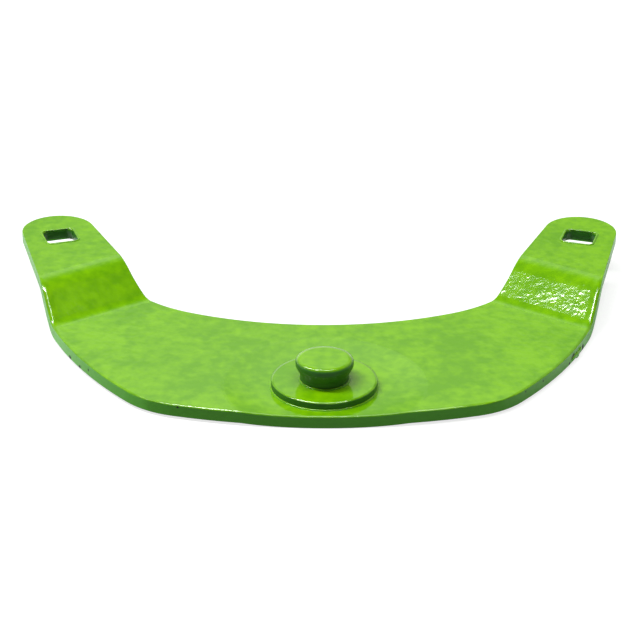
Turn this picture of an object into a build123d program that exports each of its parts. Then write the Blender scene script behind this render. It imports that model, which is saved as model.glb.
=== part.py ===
from build123d import *
import os
from math import asin, cos, degrees, hypot, radians, sin, sqrt

# Blade holder of a drum mower, in millimetres and degrees.
# +Z is up. The pin axis is X0 Y0 and the face that the blade lies on is Z0. The front edge faces -Y.
# The drum that carries the holder turns about an upright axis behind the pin.

# Plate of spring steel: the two long edges are arcs about the drum axis
sheet = 4.0
edge_round = 0.3
back_radius = 110.2
plate_width = 64.1
pin_to_front = 21.3
front_corner_radius = 30.0
side_radius = 156.0
root_radius = 48.7

# Square holes for M10 bolts with a square neck
bolt_x = 91.6
bolt_y = 93.2
bolt_square = 11.0
bolt_corner = 1.0
bolt_turn = 17.7

# Ears: the round end lies outward of and behind its bolt, and the sides spread towards the root
ear_tip_outward = 1.2
ear_tip_behind = 5.8
ear_tip_radius = 12.7
ear_outer_angle = 75.8
ear_inner_angle = 66.2
ear_outer_straight = 39.0

# Slanted step that lifts each ear; the bends are inside radii
ear_rise = 10.0
step_angle = 35.0
step_line_angle = 34.7
step_distance = 83.1
lower_bend = 7.0
upper_bend = 10.0

# Washer that the blade lies on
washer_diameter = 34.0
washer_thickness = 2.5
washer_edge = 0.3

# Shallow dish pressed into the plate under the washer
dish_depth = 0.8
dish_floor_margin = 0.8
dish_slope_width = 15.2
dish_rim_round = 10.0

# Blade pin: the blade's bore passes over the head and then lies round the neck
blade_bore = 19.0
blade_clearance = 0.25
head_lip = 1.45
head_rim = 2.2
head_underside_rise = 2.9
head_upper_round = 1.0
head_lower_round = 0.6
neck_height = 2.2
neck_upper_fillet = 1.2
neck_foot_fillet = 0.4
shank_shoulder = 1.8
tail_spread = 2.0
tail_depth = 2.0

# Levels and radii that follow from the sizes above
front_radius = back_radius + plate_width
drum_axis_y = front_radius - pin_to_front
plate_top = dish_depth - washer_thickness
plate_bottom = plate_top - sheet
pin_bottom = plate_bottom - dish_depth
dish_floor_radius = washer_diameter / 2 + dish_floor_margin
dish_rim_radius = dish_floor_radius + dish_slope_width
head_radius = blade_bore / 2 - blade_clearance
neck_radius = head_radius - head_lip
shank_radius = neck_radius - shank_shoulder
tail_radius = shank_radius + tail_spread
head_underside = neck_height + head_underside_rise
head_top = head_underside + head_rim

# Tools that only cut are this long, which is more than any piece they cut
reach = 2 * (bolt_x + bolt_y)


def toward(start, end, distance):
    """Point at a distance from start on the way to end."""
    k = distance / hypot(end[0] - start[0], end[1] - start[1])
    return (start[0] + k * (end[0] - start[0]), start[1] + k * (end[1] - start[1]))


def circles_meet(c1, r1, c2, r2):
    """Crossing point of two circles that lies to the left of the way from c1 to c2."""
    dx, dy = c2[0] - c1[0], c2[1] - c1[1]
    d = hypot(dx, dy)
    along = (r1 * r1 - r2 * r2 + d * d) / (2 * d)
    off = sqrt(r1 * r1 - along * along)
    return (c1[0] + (along * dx - off * dy) / d, c1[1] + (along * dy + off * dx) / d)


def arc(centre, start, end):
    """Short arc about a centre from start to end."""
    middle = ((start[0] + end[0]) / 2, (start[1] + end[1]) / 2)
    radius = hypot(start[0] - centre[0], start[1] - centre[1])
    return ThreePointArc(start, toward(centre, middle, radius), end)


def half_outline():
    """Plan outline at +X: the front and back arcs, joined by the ear. Each join is tangent."""
    drum = (0.0, drum_axis_y)
    tip = (bolt_x + ear_tip_outward, bolt_y + ear_tip_behind)
    out_x, out_y = cos(radians(ear_outer_angle)), sin(radians(ear_outer_angle))
    in_x, in_y = cos(radians(ear_inner_angle)), sin(radians(ear_inner_angle))

    # Outer side of the ear, the long side arc and the front corner
    outer_end = (tip[0] + ear_tip_radius * out_y, tip[1] - ear_tip_radius * out_x)
    outer_start = (outer_end[0] - ear_outer_straight * out_x, outer_end[1] - ear_outer_straight * out_y)
    side = (outer_start[0] - side_radius * out_y, outer_start[1] + side_radius * out_x)
    corner = circles_meet(drum, front_radius - front_corner_radius, side, side_radius - front_corner_radius)
    side_start = toward(side, corner, side_radius)
    front_end = toward(drum, corner, front_radius)

    # Inner side of the ear, run down to the root arc that lies inside the back arc
    inner_end = (tip[0] - ear_tip_radius * in_y, tip[1] + ear_tip_radius * in_x)
    from_drum = (inner_end[0] - root_radius * in_y, inner_end[1] + root_radius * in_x - drum_axis_y)
    half = from_drum[0] * in_x + from_drum[1] * in_y
    gap = from_drum[0] ** 2 + from_drum[1] ** 2 - (back_radius - root_radius) ** 2
    run = half + sqrt(half * half - gap)
    inner_start = (inner_end[0] - run * in_x, inner_end[1] - run * in_y)
    root = (from_drum[0] - run * in_x, from_drum[1] + drum_axis_y - run * in_y)
    back_end = toward(drum, root, back_radius)

    ear_axis = radians((ear_outer_angle + ear_inner_angle) / 2)
    tip_far = (tip[0] + ear_tip_radius * cos(ear_axis), tip[1] + ear_tip_radius * sin(ear_axis))
    front_middle = (0, drum_axis_y - front_radius)
    back_middle = (0, drum_axis_y - back_radius)
    return make_face([
        arc(drum, front_middle, front_end),
        arc(corner, front_end, side_start),
        arc(side, side_start, outer_start),
        Line(outer_start, outer_end),
        ThreePointArc(outer_end, tip_far, inner_end),
        Line(inner_end, inner_start),
        arc(root, inner_start, back_end),
        arc(drum, back_end, back_middle),
        Line(back_middle, front_middle),
    ])


def step_face_line(height, lower_radius, upper_radius):
    """Section of one face of the sheet: level, up the step and level again."""
    bends_rise = (lower_bend + upper_bend + sheet) * (1 - cos(radians(step_angle)))
    slope = (ear_rise - bends_rise) / sin(radians(step_angle))
    level = Line((-reach, height), (step_distance, height))
    bend_up = JernArc(level @ 1, (1, 0), lower_radius, step_angle)
    ramp = Line(bend_up @ 1, (bend_up @ 1) + slope * (bend_up % 1))
    bend_back = JernArc(ramp @ 1, ramp % 1, upper_radius, -step_angle)
    return [level, bend_up, ramp, bend_back, Line(bend_back @ 1, (reach, height + ear_rise))]


def stepped_sheet():
    """Wide sheet with the step of the ear at +X."""
    upper = step_face_line(plate_top, lower_bend, upper_bend + sheet)
    under = step_face_line(plate_bottom, lower_bend + sheet, upper_bend)
    ends = [
        Line((-reach, plate_bottom), (-reach, plate_top)),
        Line((reach, plate_bottom + ear_rise), (reach, plate_top + ear_rise)),
    ]
    across = (sin(radians(step_line_angle)), cos(radians(step_line_angle)), 0)
    section = Plane(origin=(0, 0, 0), x_dir=across, z_dir=(across[1], -across[0], 0))
    return extrude(section * make_face([*upper, *under, *ends]), reach, both=True)


def dish(height):
    """Turned body between a level face and the dish pressed into it."""
    floor = height - dish_depth
    # The hollow slope and the rounded rim touch, so their centres lie both radii apart
    both_radii = (dish_slope_width**2 + dish_depth**2) / (2 * dish_depth)
    steepest = degrees(asin(dish_slope_width / both_radii))
    slope = JernArc((dish_floor_radius, floor), (1, 0), both_radii - dish_rim_round, steepest)
    rim = JernArc(slope @ 1, slope % 1, dish_rim_round, -steepest)
    profile = make_face([
        Line((0, height), (0, floor)),
        Line((0, floor), slope @ 0),
        slope,
        rim,
        Line(rim @ 1, (0, height)),
    ])
    return revolve(Plane.XZ * profile, Axis.Z)


def bolt_hole():
    """Square hole through the ear at +X."""
    square = RectangleRounded(bolt_square, bolt_square, bolt_corner)
    return Pos(bolt_x, bolt_y, 0) * Rot(0, 0, -bolt_turn) * extrude(square, reach, both=True)


def long_edges(half):
    """Upper and lower edges of the outline and the square hole, without those at the middle."""
    found = []
    for face in half.faces():
        middle = face.center()
        if middle.X > edge_round and abs(face.normal_at(middle).Z) < 0.01:
            found += [edge for edge in face.edges() if abs((edge % 0.5).Z) < 0.9]
    return found


def upright(radius, height, foot):
    """Cylinder on the pin axis that stands at a level."""
    return Pos(0, 0, foot) * Cylinder(radius, height, align=(Align.CENTER, Align.CENTER, Align.MIN))


def build_plate():
    """One half is cut out and rounded, and the other is its mirror image."""
    half = stepped_sheet() - dish(plate_top) + dish(plate_bottom)
    half = half & extrude(half_outline(), reach, dir=(0, 0, 1), both=True)
    half = half - bolt_hole()
    half = fillet(long_edges(half), edge_round)
    body = half + mirror(half, about=Plane.YZ)
    countersink = Pos(0, 0, pin_bottom) * Cone(
        tail_radius, shank_radius, tail_depth, align=(Align.CENTER, Align.CENTER, Align.MIN)
    )
    return body - upright(shank_radius, 2 * sheet, pin_bottom) - countersink


def build_washer():
    ring = upright(washer_diameter / 2, washer_thickness, -washer_thickness)
    ring = fillet(ring.edges().filter_by(GeomType.CIRCLE), washer_edge)
    return ring - upright(shank_radius, 2 * washer_thickness, -1.5 * washer_thickness)


def build_pin():
    """Blade pin, turned in one: riveted tail, shank, neck and mushroom head."""
    foot = neck_radius + neck_foot_fillet
    sag = neck_foot_fillet * (1 - sqrt(0.5))
    profile = make_face([
        Line((0, pin_bottom), (tail_radius, pin_bottom)),
        Line((tail_radius, pin_bottom), (shank_radius, pin_bottom + tail_depth)),
        Line((shank_radius, pin_bottom + tail_depth), (shank_radius, 0)),
        Line((shank_radius, 0), (foot, 0)),
        ThreePointArc((foot, 0), (neck_radius + sag, sag), (neck_radius, neck_foot_fillet)),
        Line((neck_radius, neck_foot_fillet), (neck_radius, neck_height)),
        Line((neck_radius, neck_height), (head_radius, head_underside)),
        Line((head_radius, head_underside), (head_radius, head_top)),
        Line((head_radius, head_top), (0, head_top)),
        Line((0, head_top), (0, pin_bottom)),
    ])
    body = revolve(Plane.XZ * profile, Axis.Z)
    rounds = {head_top: head_upper_round, head_underside: head_lower_round, neck_height: neck_upper_fillet}
    for level, radius in rounds.items():
        rings = body.edges().filter_by(GeomType.CIRCLE)
        body = fillet([ring for ring in rings if abs(ring.center().Z - level) < 0.01], radius)
    return body


os.makedirs("parts", exist_ok=True)
export_step(build_plate(), "parts/spring_plate.step")
export_step(build_washer(), "parts/support_washer.step")
export_step(build_pin(), "parts/blade_pin.step")
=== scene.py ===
import math

import bmesh
import bpy
from bpy.props import FloatProperty, FloatVectorProperty, IntProperty, PointerProperty
from mathutils import Matrix, Vector


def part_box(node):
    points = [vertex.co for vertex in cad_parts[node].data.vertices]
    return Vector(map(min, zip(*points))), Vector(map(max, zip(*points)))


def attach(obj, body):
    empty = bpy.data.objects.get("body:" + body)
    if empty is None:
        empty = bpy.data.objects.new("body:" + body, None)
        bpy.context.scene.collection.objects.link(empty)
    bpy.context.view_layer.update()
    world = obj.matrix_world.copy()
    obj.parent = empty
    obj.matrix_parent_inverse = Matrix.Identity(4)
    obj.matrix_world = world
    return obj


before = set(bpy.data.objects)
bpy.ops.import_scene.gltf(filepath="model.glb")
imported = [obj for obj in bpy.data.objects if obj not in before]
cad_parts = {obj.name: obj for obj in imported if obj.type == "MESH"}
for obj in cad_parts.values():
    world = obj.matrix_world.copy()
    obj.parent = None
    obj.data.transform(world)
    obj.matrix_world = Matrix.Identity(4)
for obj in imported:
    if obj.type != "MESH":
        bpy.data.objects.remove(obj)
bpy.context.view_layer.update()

bl_info = {
    "name": "Drum Mower Blade Holder",
    "version": (1, 0, 0),
    "blender": (4, 5, 0),
    "location": "View3D > Sidebar > Holder",
    "description": "Dresses the blade holder in gloss green enamel and lights it as a product shot",
    "category": "Object",
}

MM = 0.001

# The holder lies on the underside of its pressed dish
FLOOR_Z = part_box("blade_pin")[0].z

# Places on the CAD in millimetres, with the pin's axis at X 0, Y 0 and the washer's top at Z 0
EAR_TOP = 8.3
HOLE_CENTRE = (91.6, 93.2)
HOLE_HALF = 5.5
HOLE_TURN = math.radians(-17.7)
WASHER_RADIUS = 17.0
DISH_FLOOR = -2.5
NECK_RADIUS = 7.8
# The long side of the plate is an arc; this is the one of the +X side
SIDE_CENTRE = (-55.69, 96.34)
SIDE_RADIUS = 156.0

# Camera of the photograph, in metres and radians. The focal length is for a 36 mm wide sensor.
CAMERA_PLACE = Vector((-14.16, -645.73, 333.76)) * MM
CAMERA_YAW = math.radians(1.116)
CAMERA_PITCH = math.radians(25.857)
CAMERA_ROLL = math.radians(-0.570)
CAMERA_LENS = 128.60
SENSOR_WIDTH = 36.0


def linear(hex_colour):
    """Linear RGB of an sRGB hex colour such as "76AF00"."""
    parts = [int(hex_colour[i : i + 2], 16) / 255 for i in (0, 2, 4)]
    return tuple(c / 12.92 if c <= 0.04045 else ((c + 0.055) / 1.055) ** 2.4 for c in parts)


def rgba(colour):
    return (*colour[:3], 1.0)


# Settings that a user would change


class HolderPaintSettings(bpy.types.PropertyGroup):
    """Gloss enamel on the plate, the washer and the pin."""

    green: FloatVectorProperty(
        name="Green", description="Enamel colour", subtype="COLOR", size=3, default=linear("599202")
    )
    fresh: FloatVectorProperty(
        name="Yellow drift", description="Enamel where the film is thin", subtype="COLOR", size=3,
        default=linear("6EA600")
    )
    # Lighter green on upright faces: painted light that stands in for the bounce they get, over the thin enamel there
    upright_lit_thin: FloatVectorProperty(
        name="Thin enamel with painted light", description="Enamel on upright faces", subtype="COLOR", size=3, default=linear("4BA310")
    )
    # Darker green on upright faces of the washer, the pin and the square holes: painted shade, over the thin enamel
    # there
    turned: FloatVectorProperty(
        name="Turned edges with painted shade", description="Enamel on the edges of the washer and the pin", subtype="COLOR", size=3,
        default=linear("2A6716")
    )
    bare: FloatVectorProperty(
        name="Chipped steel", description="Dark steel in a paint chip", subtype="COLOR", size=3,
        default=linear("141F12")
    )
    gloss: FloatProperty(name="Roughness", description="Roughness of the enamel", default=0.09, min=0.02, max=1.0)
    peel_width: FloatProperty(
        name="Orange peel width", description="Distance between the waves of the enamel", subtype="DISTANCE",
        default=2.1 * MM
    )
    peel_depth: FloatProperty(
        name="Orange peel depth", description="Height of those waves", subtype="DISTANCE", default=0.075 * MM,
        precision=5
    )
    ridge: FloatProperty(
        name="Fat edge", description="Height of the enamel that has drawn up along the steps' outer edges",
        subtype="DISTANCE", default=0.16 * MM, precision=5
    )


class HolderBeadSettings(bpy.types.PropertyGroup):
    """Enamel that has gathered in corners and round the square holes."""

    foot: FloatProperty(
        name="Foot bead", description="Thickness of the bead round the feet of the washer and the neck",
        subtype="DISTANCE", default=0.8 * MM
    )
    hole_width: FloatProperty(
        name="Hole bead width", description="Thickness of the enamel in the corners of the square holes",
        subtype="DISTANCE", default=0.9 * MM
    )
    hole_lip: FloatProperty(
        name="Hole lip", description="How far that enamel stands above the ear", subtype="DISTANCE",
        default=0.28 * MM, precision=5
    )
    hole_corner: FloatProperty(
        name="Hole corner", description="Corner radius along the middle of that enamel", subtype="DISTANCE",
        default=2.85 * MM
    )
    sides: IntProperty(name="Bead sides", description="Sides of a bead's section", default=20, min=6)


class HolderStudioSettings(bpy.types.PropertyGroup):
    """White studio with soft boxes overhead."""

    floor: FloatVectorProperty(
        name="Floor", description="Floor colour", subtype="COLOR", size=3, default=linear("FAFAFA")
    )
    back: FloatVectorProperty(
        name="Floor behind", description="Floor colour that the holder's sides mirror", subtype="COLOR", size=3,
        default=linear("D4D4D4")
    )
    front: FloatVectorProperty(
        name="Floor in front", description="Floor colour that the holder's front mirrors", subtype="COLOR", size=3,
        default=linear("858585")
    )
    main_light: FloatProperty(name="Lamps", description="Strength of the overhead lamps", default=30.0)
    sky: FloatProperty(name="Room light", description="Strength of the light from the room", default=1.0)


# Nodes


def add_node(tree, kind, inputs=None, **settings):
    """Adds a node; an input given a socket is linked to it, and any other value is set."""
    made = tree.nodes.new(kind)
    for name, value in settings.items():
        setattr(made, name, value)
    for key, value in (inputs or {}).items():
        if isinstance(value, bpy.types.NodeSocket):
            tree.links.new(value, made.inputs[key])
        else:
            made.inputs[key].default_value = value
    return made


def chip_mask(tree, place, chips, seed):
    """1 inside the chips and 0 outside; each chip is a centre and a radius in millimetres."""
    ragged = add_node(tree, "ShaderNodeTexNoise", {
        "Vector": place, "W": seed, "Scale": 1 / (0.7 * MM), "Detail": 2.0,
    }, noise_dimensions="4D").outputs["Fac"]
    wobble = add_node(tree, "ShaderNodeMapRange", {
        "Value": ragged, "From Min": 0.3, "From Max": 0.7, "To Min": 0.55, "To Max": 1.45,
    }).outputs["Result"]
    total = 0.0
    for centre, radius in chips:
        away = add_node(tree, "ShaderNodeVectorMath", {0: place, 1: tuple(c * MM for c in centre)},
                        operation="DISTANCE").outputs["Value"]
        limit = add_node(tree, "ShaderNodeMath", {0: wobble, 1: radius * MM}, operation="MULTIPLY").outputs[0]
        inside = add_node(tree, "ShaderNodeMath", {0: away, 1: limit}, operation="LESS_THAN").outputs[0]
        total = add_node(tree, "ShaderNodeMath", {0: total, 1: inside}, operation="MAXIMUM").outputs[0]
    return total


def fat_edge(tree, place, reach_x):
    """1 on the crest of the ridge just inside the plate's side edge, along the steps, and 0 away from it."""
    y = place.outputs["Y"]
    flat = add_node(tree, "ShaderNodeCombineXYZ", {"X": reach_x, "Y": y}).outputs[0]
    radius = add_node(tree, "ShaderNodeVectorMath", {0: flat, 1: (SIDE_CENTRE[0] * MM, SIDE_CENTRE[1] * MM, 0)},
                      operation="DISTANCE").outputs["Value"]
    rise = add_node(tree, "ShaderNodeMapRange", {
        "Value": radius, "From Min": (SIDE_RADIUS - 3.4) * MM, "From Max": (SIDE_RADIUS - 1.4) * MM,
    }, interpolation_type="SMOOTHSTEP").outputs["Result"]
    fall = add_node(tree, "ShaderNodeMapRange", {
        "Value": radius, "From Min": (SIDE_RADIUS - 1.4) * MM, "From Max": SIDE_RADIUS * MM, "To Min": 1.0, "To Max": 0.0,
    }, interpolation_type="SMOOTHSTEP").outputs["Result"]
    near = add_node(tree, "ShaderNodeMapRange", {
        "Value": y, "From Min": 34 * MM, "From Max": 42 * MM,
    }, interpolation_type="SMOOTHSTEP").outputs["Result"]
    far = add_node(tree, "ShaderNodeMapRange", {
        "Value": y, "From Min": 54 * MM, "From Max": 62 * MM, "To Min": 1.0, "To Max": 0.0,
    }, interpolation_type="SMOOTHSTEP").outputs["Result"]
    across = add_node(tree, "ShaderNodeMath", {0: rise, 1: fall}, operation="MULTIPLY").outputs[0]
    along = add_node(tree, "ShaderNodeMath", {0: near, 1: far}, operation="MULTIPLY").outputs[0]
    return add_node(tree, "ShaderNodeMath", {0: across, 1: along}, operation="MULTIPLY").outputs[0]


def crown(tree, place, reach_x, centre, radius, width, depth, end=200.0):
    """Metres by which the film falls towards a round edge, so that the edge catches the lamps as a pale line.

    The edge is round as far back as the Y given by end, in millimetres.
    """
    flat = add_node(tree, "ShaderNodeCombineXYZ", {"X": reach_x, "Y": place.outputs["Y"]}).outputs[0]
    away = add_node(tree, "ShaderNodeVectorMath", {0: flat, 1: (centre[0] * MM, centre[1] * MM, 0)},
                    operation="DISTANCE").outputs["Value"]
    fall = add_node(tree, "ShaderNodeMapRange", {
        "Value": away, "From Min": (radius - width) * MM, "From Max": radius * MM, "To Min": 0.0, "To Max": -depth * MM,
    }, interpolation_type="SMOOTHSTEP").outputs["Result"]
    before = add_node(tree, "ShaderNodeMapRange", {
        "Value": place.outputs["Y"], "From Min": (end - 8) * MM, "From Max": end * MM, "To Min": 1.0, "To Max": 0.0,
    }).outputs["Result"]
    return add_node(tree, "ShaderNodeMath", {0: fall, 1: before}, operation="MULTIPLY").outputs[0]


def gloss_enamel(name, paint, seed, edge, steep=0.7, crowns=(), chips=(), peel=1.0):
    """Sprayed alkyd enamel: hard gloss over gentle orange peel, so highlights break into small flakes.

    The edge colour goes on upright faces and paints their light and shade over their thin enamel; it starts where the
    face's normal has the height given by steep.
    """
    material = bpy.data.materials.new(name)
    material.use_nodes = True
    tree = material.node_tree
    tree.nodes.clear()
    place = add_node(tree, "ShaderNodeTexCoord").outputs["Object"]
    split = add_node(tree, "ShaderNodeSeparateXYZ", {0: place})
    reach_x = add_node(tree, "ShaderNodeMath", {0: split.outputs["X"]}, operation="ABSOLUTE").outputs[0]

    drift = add_node(tree, "ShaderNodeTexNoise", {
        "Vector": place, "W": seed, "Scale": 1 / (22 * MM), "Detail": 2.0,
    }, noise_dimensions="4D").outputs["Fac"]
    mottle = add_node(tree, "ShaderNodeTexNoise", {
        "Vector": place, "W": seed + 1, "Scale": 1 / (3.2 * MM), "Detail": 2.0,
    }, noise_dimensions="4D").outputs["Fac"]
    blend = add_node(tree, "ShaderNodeMath", {0: drift, 1: mottle}, operation="ADD").outputs[0]
    blend = add_node(tree, "ShaderNodeMapRange", {
        "Value": blend, "From Min": 0.8, "From Max": 1.2, "To Min": 0.0, "To Max": 1.0,
    }).outputs["Result"]
    colour = add_node(tree, "ShaderNodeMix", {
        "Factor": blend, 6: rgba(paint.green), 7: rgba(paint.fresh),
    }, data_type="RGBA").outputs[2]
    # Upright faces take the edge colour: the film runs thin there, and the colour also paints the light and shade these
    # faces get
    facing = add_node(tree, "ShaderNodeSeparateXYZ", {0: add_node(tree, "ShaderNodeNewGeometry").outputs["Normal"]})
    upright = add_node(tree, "ShaderNodeMapRange", {
        "Value": facing.outputs["Z"], "From Min": steep - 0.5, "From Max": steep, "To Min": 1.0, "To Max": 0.0,
    }).outputs["Result"]
    colour = add_node(tree, "ShaderNodeMix", {"Factor": upright, 6: colour, 7: rgba(edge)},
                      data_type="RGBA").outputs[2]
    rough = add_node(tree, "ShaderNodeMapRange", {
        "Value": drift, "From Min": 0.3, "From Max": 0.7, "To Min": paint.gloss * 0.8, "To Max": paint.gloss * 1.3,
    }).outputs["Result"]

    rough = add_node(tree, "ShaderNodeMix", {"Factor": upright, 2: rough, 3: 0.35}).outputs[0]

    # Waves of the film; they are weaker round the pin than on the ears
    waves = add_node(tree, "ShaderNodeTexNoise", {
        "Vector": place, "W": seed + 2, "Scale": 1 / paint.peel_width, "Detail": 1.0,
    }, noise_dimensions="4D").outputs["Fac"]
    fine = add_node(tree, "ShaderNodeTexNoise", {
        "Vector": place, "W": seed + 3, "Scale": 1 / (0.36 * paint.peel_width), "Detail": 1.0,
    }, noise_dimensions="4D").outputs["Fac"]
    height = add_node(tree, "ShaderNodeMath", {0: fine, 1: 0.25, 2: waves}, operation="MULTIPLY_ADD").outputs[0]
    strength = add_node(tree, "ShaderNodeMapRange", {
        "Value": reach_x, "From Min": 45 * MM, "From Max": 70 * MM, "To Min": 0.5 * peel, "To Max": peel,
    }).outputs["Result"]
    height = add_node(tree, "ShaderNodeMath", {0: height, 1: strength}, operation="MULTIPLY").outputs[0]
    crest = fat_edge(tree, split, reach_x)
    height = add_node(tree, "ShaderNodeMath", {0: crest, 1: paint.ridge / paint.peel_depth, 2: height},
                      operation="MULTIPLY_ADD").outputs[0]
    for edges in crowns:
        fall = crown(tree, split, reach_x, *edges)
        height = add_node(tree, "ShaderNodeMath", {0: fall, 1: 1 / paint.peel_depth, 2: height},
                          operation="MULTIPLY_ADD").outputs[0]

    if chips:
        chipped = chip_mask(tree, place, chips, seed + 4)
        colour = add_node(tree, "ShaderNodeMix", {"Factor": chipped, 6: colour, 7: rgba(paint.bare)},
                          data_type="RGBA").outputs[2]
        rough = add_node(tree, "ShaderNodeMix", {"Factor": chipped, 2: rough, 3: 0.6}).outputs[0]
        height = add_node(tree, "ShaderNodeMath", {0: chipped, 1: -2.0, 2: height}, operation="MULTIPLY_ADD").outputs[0]

    bump = add_node(tree, "ShaderNodeBump", {"Height": height, "Distance": paint.peel_depth, "Strength": 1.0})
    shader = add_node(tree, "ShaderNodeBsdfPrincipled", {
        "Base Color": colour, "Roughness": rough, "IOR": 1.5, "Metallic": 0.0, "Normal": bump.outputs["Normal"],
    })
    add_node(tree, "ShaderNodeOutputMaterial", {"Surface": shader.outputs["BSDF"]})
    return material


def dress(piece, material):
    """Gives a piece its material."""
    piece.data.materials.clear()
    piece.data.materials.append(material)


# Beads of enamel


def circle_path(radius, height, steps=192):
    """Points of a level circle round the pin, in millimetres."""
    turns = (2 * math.pi * i / steps for i in range(steps))
    return [(radius * math.cos(t), radius * math.sin(t), height) for t in turns]


def square_path(centre, half, corner, turn, height, steps=12):
    """Points of a level square with rounded corners, in millimetres."""
    points = []
    for quarter in range(4):
        middle = math.pi / 4 + quarter * math.pi / 2
        reach = (half - corner) * math.sqrt(2)
        x, y = reach * math.cos(middle), reach * math.sin(middle)
        for i in range(steps + 1):
            t = quarter * math.pi / 2 + i / steps * math.pi / 2
            points.append((x + corner * math.cos(t), y + corner * math.sin(t)))
    c, s = math.cos(turn), math.sin(turn)
    return [(centre[0] + c * x - s * y, centre[1] + s * x + c * y, height) for x, y in points]


def bead_tree():
    """Geometry Nodes tree that sweeps an oval section along the closed paths of a mesh."""
    tree = bpy.data.node_groups.new("Enamel bead along a path", "GeometryNodeTree")
    tree.interface.new_socket("Geometry", in_out="INPUT", socket_type="NodeSocketGeometry")
    for name, kind in (("Bead width", "Float"), ("Bead height", "Float"), ("Bead sides", "Int"),
                       ("Enamel", "Material")):
        tree.interface.new_socket(name, in_out="INPUT", socket_type="NodeSocket" + kind)
    tree.interface.new_socket("Geometry", in_out="OUTPUT", socket_type="NodeSocketGeometry")
    given = add_node(tree, "NodeGroupInput").outputs
    path = add_node(tree, "GeometryNodeMeshToCurve", {"Mesh": given["Geometry"]})
    path = add_node(tree, "GeometryNodeSetCurveNormal", {"Curve": path.outputs["Curve"]}, mode="Z_UP")
    section = add_node(tree, "GeometryNodeCurvePrimitiveCircle", {"Resolution": given["Bead sides"], "Radius": 0.5})
    size = add_node(tree, "ShaderNodeCombineXYZ", {"X": given["Bead width"], "Y": given["Bead height"], "Z": 1.0})
    section = add_node(tree, "GeometryNodeTransform", {
        "Geometry": section.outputs["Curve"], "Scale": size.outputs["Vector"],
    })
    bead = add_node(tree, "GeometryNodeCurveToMesh", {
        "Curve": path.outputs["Curve"], "Profile Curve": section.outputs["Geometry"],
    })
    bead = add_node(tree, "GeometryNodeSetShadeSmooth", {"Geometry": bead.outputs["Mesh"]})
    bead = add_node(tree, "GeometryNodeRealizeInstances", {"Geometry": bead.outputs["Geometry"]})
    bead = add_node(tree, "GeometryNodeSetMaterial", {"Geometry": bead.outputs["Geometry"], "Material": given["Enamel"]})
    add_node(tree, "NodeGroupOutput", {"Geometry": bead.outputs["Geometry"]})
    return tree


def face_outwards(mesh):
    """Turns every face of a closed mesh outwards."""
    work = bmesh.new()
    work.from_mesh(mesh)
    bmesh.ops.recalc_face_normals(work, faces=work.faces)
    work.to_mesh(mesh)
    work.free()


def bead(name, paths, width, height, sides, material, slot):
    """Enamel bead along closed paths, as a plain mesh that rides on the holder."""
    mesh = bpy.data.meshes.new(name)
    points = [tuple(c * MM for c in point) for path in paths for point in path]
    edges = []
    for path in paths:
        first = len(edges)
        edges += [(first + i, first + (i + 1) % len(path)) for i in range(len(path))]
    mesh.from_pydata(points, edges, [])
    piece = bpy.data.objects.new(name, mesh)
    bpy.context.scene.collection.objects.link(piece)
    tree = bead_tree()
    sweep = piece.modifiers.new("Bead", "NODES")
    sweep.node_group = tree
    given = {"Bead width": width, "Bead height": height, "Bead sides": sides, "Enamel": material}
    for item in tree.interface.items_tree:
        if item.in_out == "INPUT" and item.name in given:
            sweep[item.identifier] = given[item.name]
    shown = piece.evaluated_get(bpy.context.evaluated_depsgraph_get())
    swept = bpy.data.meshes.new_from_object(shown)
    piece.modifiers.clear()
    piece.data = swept
    bpy.data.meshes.remove(mesh)
    bpy.data.node_groups.remove(tree)
    face_outwards(swept)
    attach(piece, "root")
    return piece


def lump(name, points, radii, material, sides=14):
    """Closed lump whose thickness changes along its points; both are in millimetres."""
    work = bmesh.new()
    rings = []
    for point, radius in zip(points, radii):
        ring = []
        for i in range(sides):
            turn = 2 * math.pi * i / sides
            ring.append(work.verts.new(((point[0] + radius * math.cos(turn)) * MM, point[1] * MM,
                                        (point[2] + 1.5 * radius * math.sin(turn)) * MM)))
        rings.append(ring)
    for first, second in zip(rings, rings[1:]):
        for i in range(sides):
            j = (i + 1) % sides
            work.faces.new((first[i], first[j], second[j], second[i]))
    work.faces.new(rings[0])
    work.faces.new(rings[-1])
    bmesh.ops.recalc_face_normals(work, faces=work.faces)
    for face in work.faces:
        face.smooth = True
    mesh = bpy.data.meshes.new(name)
    work.to_mesh(mesh)
    work.free()
    mesh.materials.append(material)
    piece = bpy.data.objects.new(name, mesh)
    bpy.context.scene.collection.objects.link(piece)
    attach(piece, "root")
    return piece


# Chips and nicks, as centre and radius in millimetres
PLATE_CHIPS = (
    ((82.1, 23.2, -3.9), 1.15),
    ((86.2, 31.8, -4.7), 1.05),
    ((80.7, 20.6, -5.2), 0.6),
    ((63.9, -3.8, -2.7), 0.3),
    ((70.3, 4.4, -3.0), 0.3),
    ((100.7, 78.3, 5.2), 0.6),
    ((-83.0, 24.9, -5.2), 0.8),
    ((-79.3, 18.1, -5.2), 0.7),
    ((-76.0, 12.7, -3.5), 0.5),
    ((-46.1, -15.1, -2.3), 0.35),
)
WASHER_CHIPS = (((14.6, -8.9, -1.9), 0.45),)

# Round edges as centre, radius, and the width and depth over which the film falls, in millimetres
PLATE_CROWNS = (((0.0, 153.0), 174.3, 1.1, 0.42), (SIDE_CENTRE, SIDE_RADIUS, 1.1, 0.42, 60.0))
WASHER_CROWNS = (((0.0, 0.0), WASHER_RADIUS, 0.9, 0.40),)
PIN_CROWNS = (((0.0, 0.0), 9.2, 1.8, 0.50),)


class HOLDER_OT_plate(bpy.types.Operator):
    """Paint the spring plate"""

    bl_idname = "holder.plate"
    bl_label = "Spring plate"

    def execute(self, context):
        paint = context.scene.holder_paint
        # The plate's upright faces take the lighter green of painted light
        dress(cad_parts["spring_plate"], gloss_enamel(
            "Gloss enamel on spring steel", paint, 1, paint.upright_lit_thin, crowns=PLATE_CROWNS, chips=PLATE_CHIPS
        ))
        return {"FINISHED"}


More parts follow.
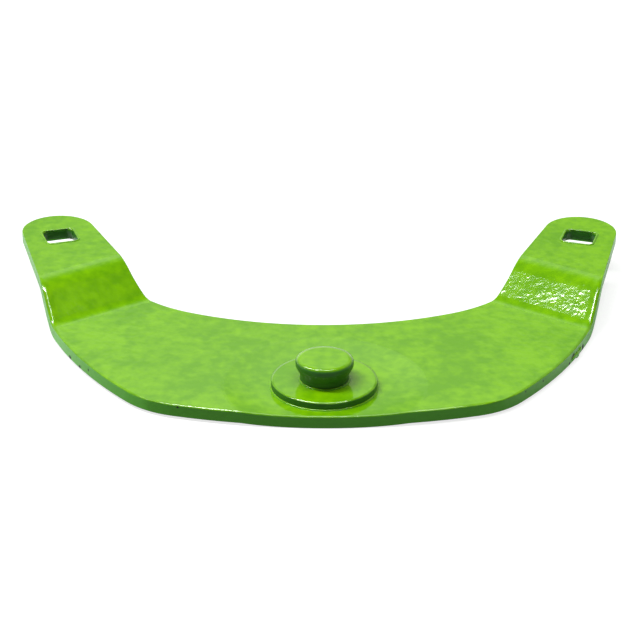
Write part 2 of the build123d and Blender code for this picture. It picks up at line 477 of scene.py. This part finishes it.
class HOLDER_OT_washer(bpy.types.Operator):
    """Paint the washer that the blade lies on"""

    bl_idname = "holder.washer"
    bl_label = "Washer"

    def execute(self, context):
        paint = context.scene.holder_paint
        # The washer's upright edge takes the darker green of painted shade
        dress(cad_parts["support_washer"], gloss_enamel(
            "Gloss enamel on washer", paint, 7, paint.turned, 0.9, WASHER_CROWNS, WASHER_CHIPS
        ))
        return {"FINISHED"}


class HOLDER_OT_pin(bpy.types.Operator):
    """Paint the blade pin"""

    bl_idname = "holder.pin"
    bl_label = "Blade pin"

    def execute(self, context):
        paint = context.scene.holder_paint
        # The pin's neck and rim take the darker green of painted shade
        dress(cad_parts["blade_pin"], gloss_enamel(
            "Gloss enamel on turned pin", paint, 13, paint.turned, 0.97, PIN_CROWNS
        ))
        return {"FINISHED"}


class HOLDER_OT_feet(bpy.types.Operator):
    """Run a bead of enamel round the feet of the washer and the neck"""

    bl_idname = "holder.feet"
    bl_label = "Beads at the feet"

    def execute(self, context):
        paint = context.scene.holder_paint
        beads = context.scene.holder_bead
        # The beads' upright faces take the lighter green of painted light
        enamel = gloss_enamel("Gloss enamel in the corners", paint, 19, paint.upright_lit_thin, peel=0.5)
        bead("washer_foot_bead", [circle_path(WASHER_RADIUS, DISH_FLOOR)], beads.foot, beads.foot, beads.sides,
             enamel, "washer_paint")
        bead("neck_foot_bead", [circle_path(NECK_RADIUS + 0.1, 0.05)], beads.foot, beads.foot, beads.sides,
             enamel, "pin_paint")
        return {"FINISHED"}


class HOLDER_OT_holes(bpy.types.Operator):
    """Line the square holes with the enamel that rounds their corners"""

    bl_idname = "holder.holes"
    bl_label = "Enamel in the square holes"

    def execute(self, context):
        paint = context.scene.holder_paint
        beads = context.scene.holder_bead
        # The walls of the square holes take the darker green of painted shade
        enamel = gloss_enamel("Gloss enamel in the square holes", paint, 23, paint.turned, peel=0.4)
        depth = 3.9
        fills, rims = [], []
        for side in (1, -1):
            centre = (side * HOLE_CENTRE[0], HOLE_CENTRE[1])
            turn = side * HOLE_TURN
            fills.append(square_path(centre, HOLE_HALF + 0.3, beads.hole_corner / MM, turn, EAR_TOP - depth / 2))
            rims.append(square_path(centre, HOLE_HALF + 0.3, 1.9, turn, EAR_TOP))
        bead("hole_enamel", fills, beads.hole_width, depth * MM, beads.sides, enamel, "plate_paint")
        bead("hole_rims", rims, 0.8 * MM, 2 * beads.hole_lip, beads.sides, enamel, "plate_paint")
        return {"FINISHED"}


class HOLDER_OT_burr(bpy.types.Operator):
    """Leave the painted burr on the plate's right side edge"""

    bl_idname = "holder.burr"
    bl_label = "Burr on the side edge"

    def execute(self, context):
        paint = context.scene.holder_paint
        # The burr's upright faces take the lighter green of painted light
        enamel = gloss_enamel("Gloss enamel on the burr", paint, 29, paint.upright_lit_thin, peel=0.8)
        points, radii = [], []
        steps = 24
        for i in range(steps + 1):
            share = i / steps
            turn = math.radians(-28.3 + 3.4 * share)
            points.append((SIDE_CENTRE[0] + SIDE_RADIUS * math.cos(turn), SIDE_CENTRE[1] + SIDE_RADIUS * math.sin(turn),
                           -4.7 + 0.7 * share + 0.2 * math.sin(9 * share)))
            radii.append(0.1 + 0.55 * math.sin(math.pi * share) ** 0.7 * (1 + 0.25 * math.sin(17 * share)))
        lump("side_burr", points, radii, enamel)
        return {"FINISHED"}


# Soft boxes as name, direction from the holder, angular width and depth, and share of the strength
LAMP_DISTANCE = 3.0
SOFT_BOXES = (
    ("Ceiling panel", (0.0, 0.0, 1.0), 0.60, 0.50, 0.13),
    ("Far left tube", (-0.85, 0.15, 1.0), 0.08, 0.45, 0.9),
    ("Left tube", (-0.46, 0.06, 1.0), 0.09, 0.50, 0.9),
    ("Second tube", (-0.33, 0.06, 1.0), 0.09, 0.50, 0.9),
    ("Middle lamp", (0.01, -0.20, 1.0), 0.06, 0.10, 1.3),
    ("Right tube", (0.30, 0.02, 1.0), 0.05, 0.45, 0.9),
)


# Brightness of the room, as position and value stops; ROOM_TOP is the value of a full stop
ROOM_TOP = 2.0
WALL_BY_HEIGHT = ((0.0, 0.50), (0.20, 0.50), (0.33, 0.20), (0.40, 0.19), (0.43, 0.29), (0.46, 0.38), (0.50, 0.44),
                  (0.57, 0.50), (0.63, 0.48), (0.72, 0.24), (0.82, 0.06), (1.0, 0.04))
WALL_BY_SIDE = ((0.0, 0.8), (0.43, 0.95), (0.5, 1.0), (0.54, 0.8), (0.58, 0.58), (1.0, 0.5))
FRONT_BY_HEIGHT = ((0.0, 0.12), (0.4, 0.08), (1.0, 0.05))


def aim(position, target):
    """Placement that stands at a position and looks at a target along its own -Z."""
    turn = (target - position).to_track_quat("-Z", "Y")
    return Matrix.Translation(position) @ turn.to_matrix().to_4x4()


def soft_box(name, direction, width, depth, strength):
    """Rectangular lamp that faces the holder; width and depth are in radians as the holder sees it."""
    lamp = bpy.data.lights.new(name, "AREA")
    lamp.shape = "RECTANGLE"
    lamp.size = width * LAMP_DISTANCE
    lamp.size_y = depth * LAMP_DISTANCE
    lamp.energy = strength * lamp.size * lamp.size_y * math.pi
    thing = bpy.data.objects.new(name, lamp)
    bpy.context.scene.collection.objects.link(thing)
    thing.matrix_world = aim(Vector(direction).normalized() * LAMP_DISTANCE, Vector((0, 0.03, 0)))
    return thing


class HOLDER_OT_stage(bpy.types.Operator):
    """Set up the white floor, the lamps and the camera"""

    bl_idname = "holder.stage"
    bl_label = "Studio"

    def execute(self, context):
        studio = context.scene.holder_studio
        self.make_floor(studio)
        self.make_room(studio)
        for name, direction, width, depth, share in SOFT_BOXES:
            soft_box(name, direction, width, depth, studio.main_light * share)
        self.make_camera(context.scene)
        context.scene.view_settings.view_transform = "Standard"
        return {"FINISHED"}

    def make_floor(self, studio):
        mesh = bpy.data.meshes.new("studio_floor")
        half = 3.0
        mesh.from_pydata([(-half, -half, FLOOR_Z), (half, -half, FLOOR_Z), (half, half, FLOOR_Z),
                          (-half, half, FLOOR_Z)], [], [(0, 1, 2, 3)])
        floor = bpy.data.objects.new("studio_floor", mesh)
        bpy.context.scene.collection.objects.link(floor)
        material = bpy.data.materials.new("White studio floor")
        material.use_nodes = True
        tree = material.node_tree
        tree.nodes.clear()
        seen = add_node(tree, "ShaderNodeLightPath").outputs["Is Camera Ray"]
        cloth = add_node(tree, "ShaderNodeBsdfDiffuse", {"Color": rgba(studio.floor)}).outputs[0]
        glow = add_node(tree, "ShaderNodeEmission", {"Color": rgba(studio.floor), "Strength": 1.15}).outputs[0]
        shown = add_node(tree, "ShaderNodeMixShader", {0: 0.7, 1: cloth, 2: glow}).outputs[0]
        # The holder mirrors a floor that is grey in front of it and white behind
        place = add_node(tree, "ShaderNodeTexCoord").outputs["Object"]
        back = add_node(tree, "ShaderNodeMapRange", {
            "Value": add_node(tree, "ShaderNodeSeparateXYZ", {0: place}).outputs["Y"],
            "From Min": -20 * MM, "From Max": 30 * MM,
        }).outputs["Result"]
        tone = add_node(tree, "ShaderNodeMix", {"Factor": back, 6: rgba(studio.front), 7: rgba(studio.back)},
                        data_type="RGBA").outputs[2]
        felt = add_node(tree, "ShaderNodeBsdfDiffuse", {"Color": tone}).outputs[0]
        both = add_node(tree, "ShaderNodeMixShader", {0: seen, 1: felt, 2: shown}).outputs[0]
        add_node(tree, "ShaderNodeOutputMaterial", {"Surface": both})
        mesh.materials.append(material)

    def make_room(self, studio):
        """White to the camera; for light and reflections, pale walls at the back and a dark ceiling."""
        world = bpy.data.worlds.new("White studio room")
        bpy.context.scene.world = world
        world.use_nodes = True
        tree = world.node_tree
        tree.nodes.clear()
        paths = add_node(tree, "ShaderNodeLightPath")
        way = add_node(tree, "ShaderNodeTexCoord").outputs["Generated"]
        way = add_node(tree, "ShaderNodeSeparateXYZ", {0: way})
        across = add_node(tree, "ShaderNodeMapRange", {
            "Value": way.outputs["X"], "From Min": -1.0, "From Max": 1.0,
        }).outputs["Result"]
        levels = []
        for value, stops in ((way.outputs["Z"], WALL_BY_HEIGHT), (across, WALL_BY_SIDE),
                             (way.outputs["Z"], FRONT_BY_HEIGHT)):
            ramp = add_node(tree, "ShaderNodeValToRGB", {0: value})
            ramp.color_ramp.interpolation = "EASE"
            elements = ramp.color_ramp.elements
            while len(elements) < len(stops):
                elements.new(0.5)
            for element, (position, level) in zip(elements, stops):
                element.position = position
                element.color = (level, level, level, 1.0)
            levels.append(ramp.outputs["Color"])
        wall, side, front = levels
        behind = add_node(tree, "ShaderNodeMapRange", {
            "Value": way.outputs["Y"], "From Min": -0.1, "From Max": 0.25,
        }).outputs["Result"]
        wall = add_node(tree, "ShaderNodeMath", {0: wall, 1: side}, operation="MULTIPLY").outputs[0]
        level = add_node(tree, "ShaderNodeMix", {"Factor": behind, 2: front, 3: wall}).outputs[0]
        strength = add_node(tree, "ShaderNodeMath", {0: level, 1: studio.sky * ROOM_TOP}, operation="MULTIPLY")
        room = add_node(tree, "ShaderNodeBackground", {"Color": (1, 1, 1, 1), "Strength": strength.outputs[0]})
        white = add_node(tree, "ShaderNodeBackground", {"Color": (1, 1, 1, 1), "Strength": 1.0})
        both = add_node(tree, "ShaderNodeMixShader", {
            0: paths.outputs["Is Camera Ray"], 1: room.outputs[0], 2: white.outputs[0],
        })
        add_node(tree, "ShaderNodeOutputWorld", {"Surface": both.outputs[0]})

    def make_camera(self, scene):
        forward = Vector((
            math.sin(CAMERA_YAW) * math.cos(CAMERA_PITCH),
            math.cos(CAMERA_YAW) * math.cos(CAMERA_PITCH),
            -math.sin(CAMERA_PITCH),
        ))
        level = Vector((math.cos(CAMERA_YAW), -math.sin(CAMERA_YAW), 0))
        down = forward.cross(level)
        right = math.cos(CAMERA_ROLL) * level + math.sin(CAMERA_ROLL) * down
        down = -math.sin(CAMERA_ROLL) * level + math.cos(CAMERA_ROLL) * down
        camera = bpy.data.cameras.new("Photo camera")
        camera.lens = CAMERA_LENS
        camera.sensor_width = SENSOR_WIDTH
        camera.clip_start = 0.05
        camera.clip_end = 20.0
        thing = bpy.data.objects.new("Photo camera", camera)
        scene.collection.objects.link(thing)
        turn = Matrix((right, -down, -forward)).transposed()
        thing.matrix_world = Matrix.Translation(CAMERA_PLACE) @ turn.to_4x4()
        scene.camera = thing


class HOLDER_PT_panel(bpy.types.Panel):
    """Lists the steps and their settings"""

    bl_label = "Blade holder"
    bl_idname = "HOLDER_PT_panel"
    bl_space_type = "VIEW_3D"
    bl_region_type = "UI"
    bl_category = "Holder"

    def draw(self, context):
        for group in ("holder_paint", "holder_bead", "holder_studio"):
            settings = getattr(context.scene, group)
            for name in settings.bl_rna.properties.keys():
                if name not in ("rna_type", "name"):
                    self.layout.prop(settings, name)
        for step in STEPS:
            self.layout.operator(step)


STEPS = ("holder.plate", "holder.washer", "holder.pin", "holder.feet", "holder.holes", "holder.burr",
         "holder.stage")
CLASSES = (
    HolderPaintSettings,
    HolderBeadSettings,
    HolderStudioSettings,
    HOLDER_OT_plate,
    HOLDER_OT_washer,
    HOLDER_OT_pin,
    HOLDER_OT_feet,
    HOLDER_OT_holes,
    HOLDER_OT_burr,
    HOLDER_OT_stage,
    HOLDER_PT_panel,
)


def register():
    for cls in CLASSES:
        bpy.utils.register_class(cls)
    bpy.types.Scene.holder_paint = PointerProperty(type=HolderPaintSettings)
    bpy.types.Scene.holder_bead = PointerProperty(type=HolderBeadSettings)
    bpy.types.Scene.holder_studio = PointerProperty(type=HolderStudioSettings)


def unregister():
    del bpy.types.Scene.holder_studio
    del bpy.types.Scene.holder_bead
    del bpy.types.Scene.holder_paint
    for cls in reversed(CLASSES):
        bpy.utils.unregister_class(cls)


def main():
    register()
    for step in STEPS:
        group, name = step.split(".")
        getattr(getattr(bpy.ops, group), name)()


if __name__ == "__main__":
    main()
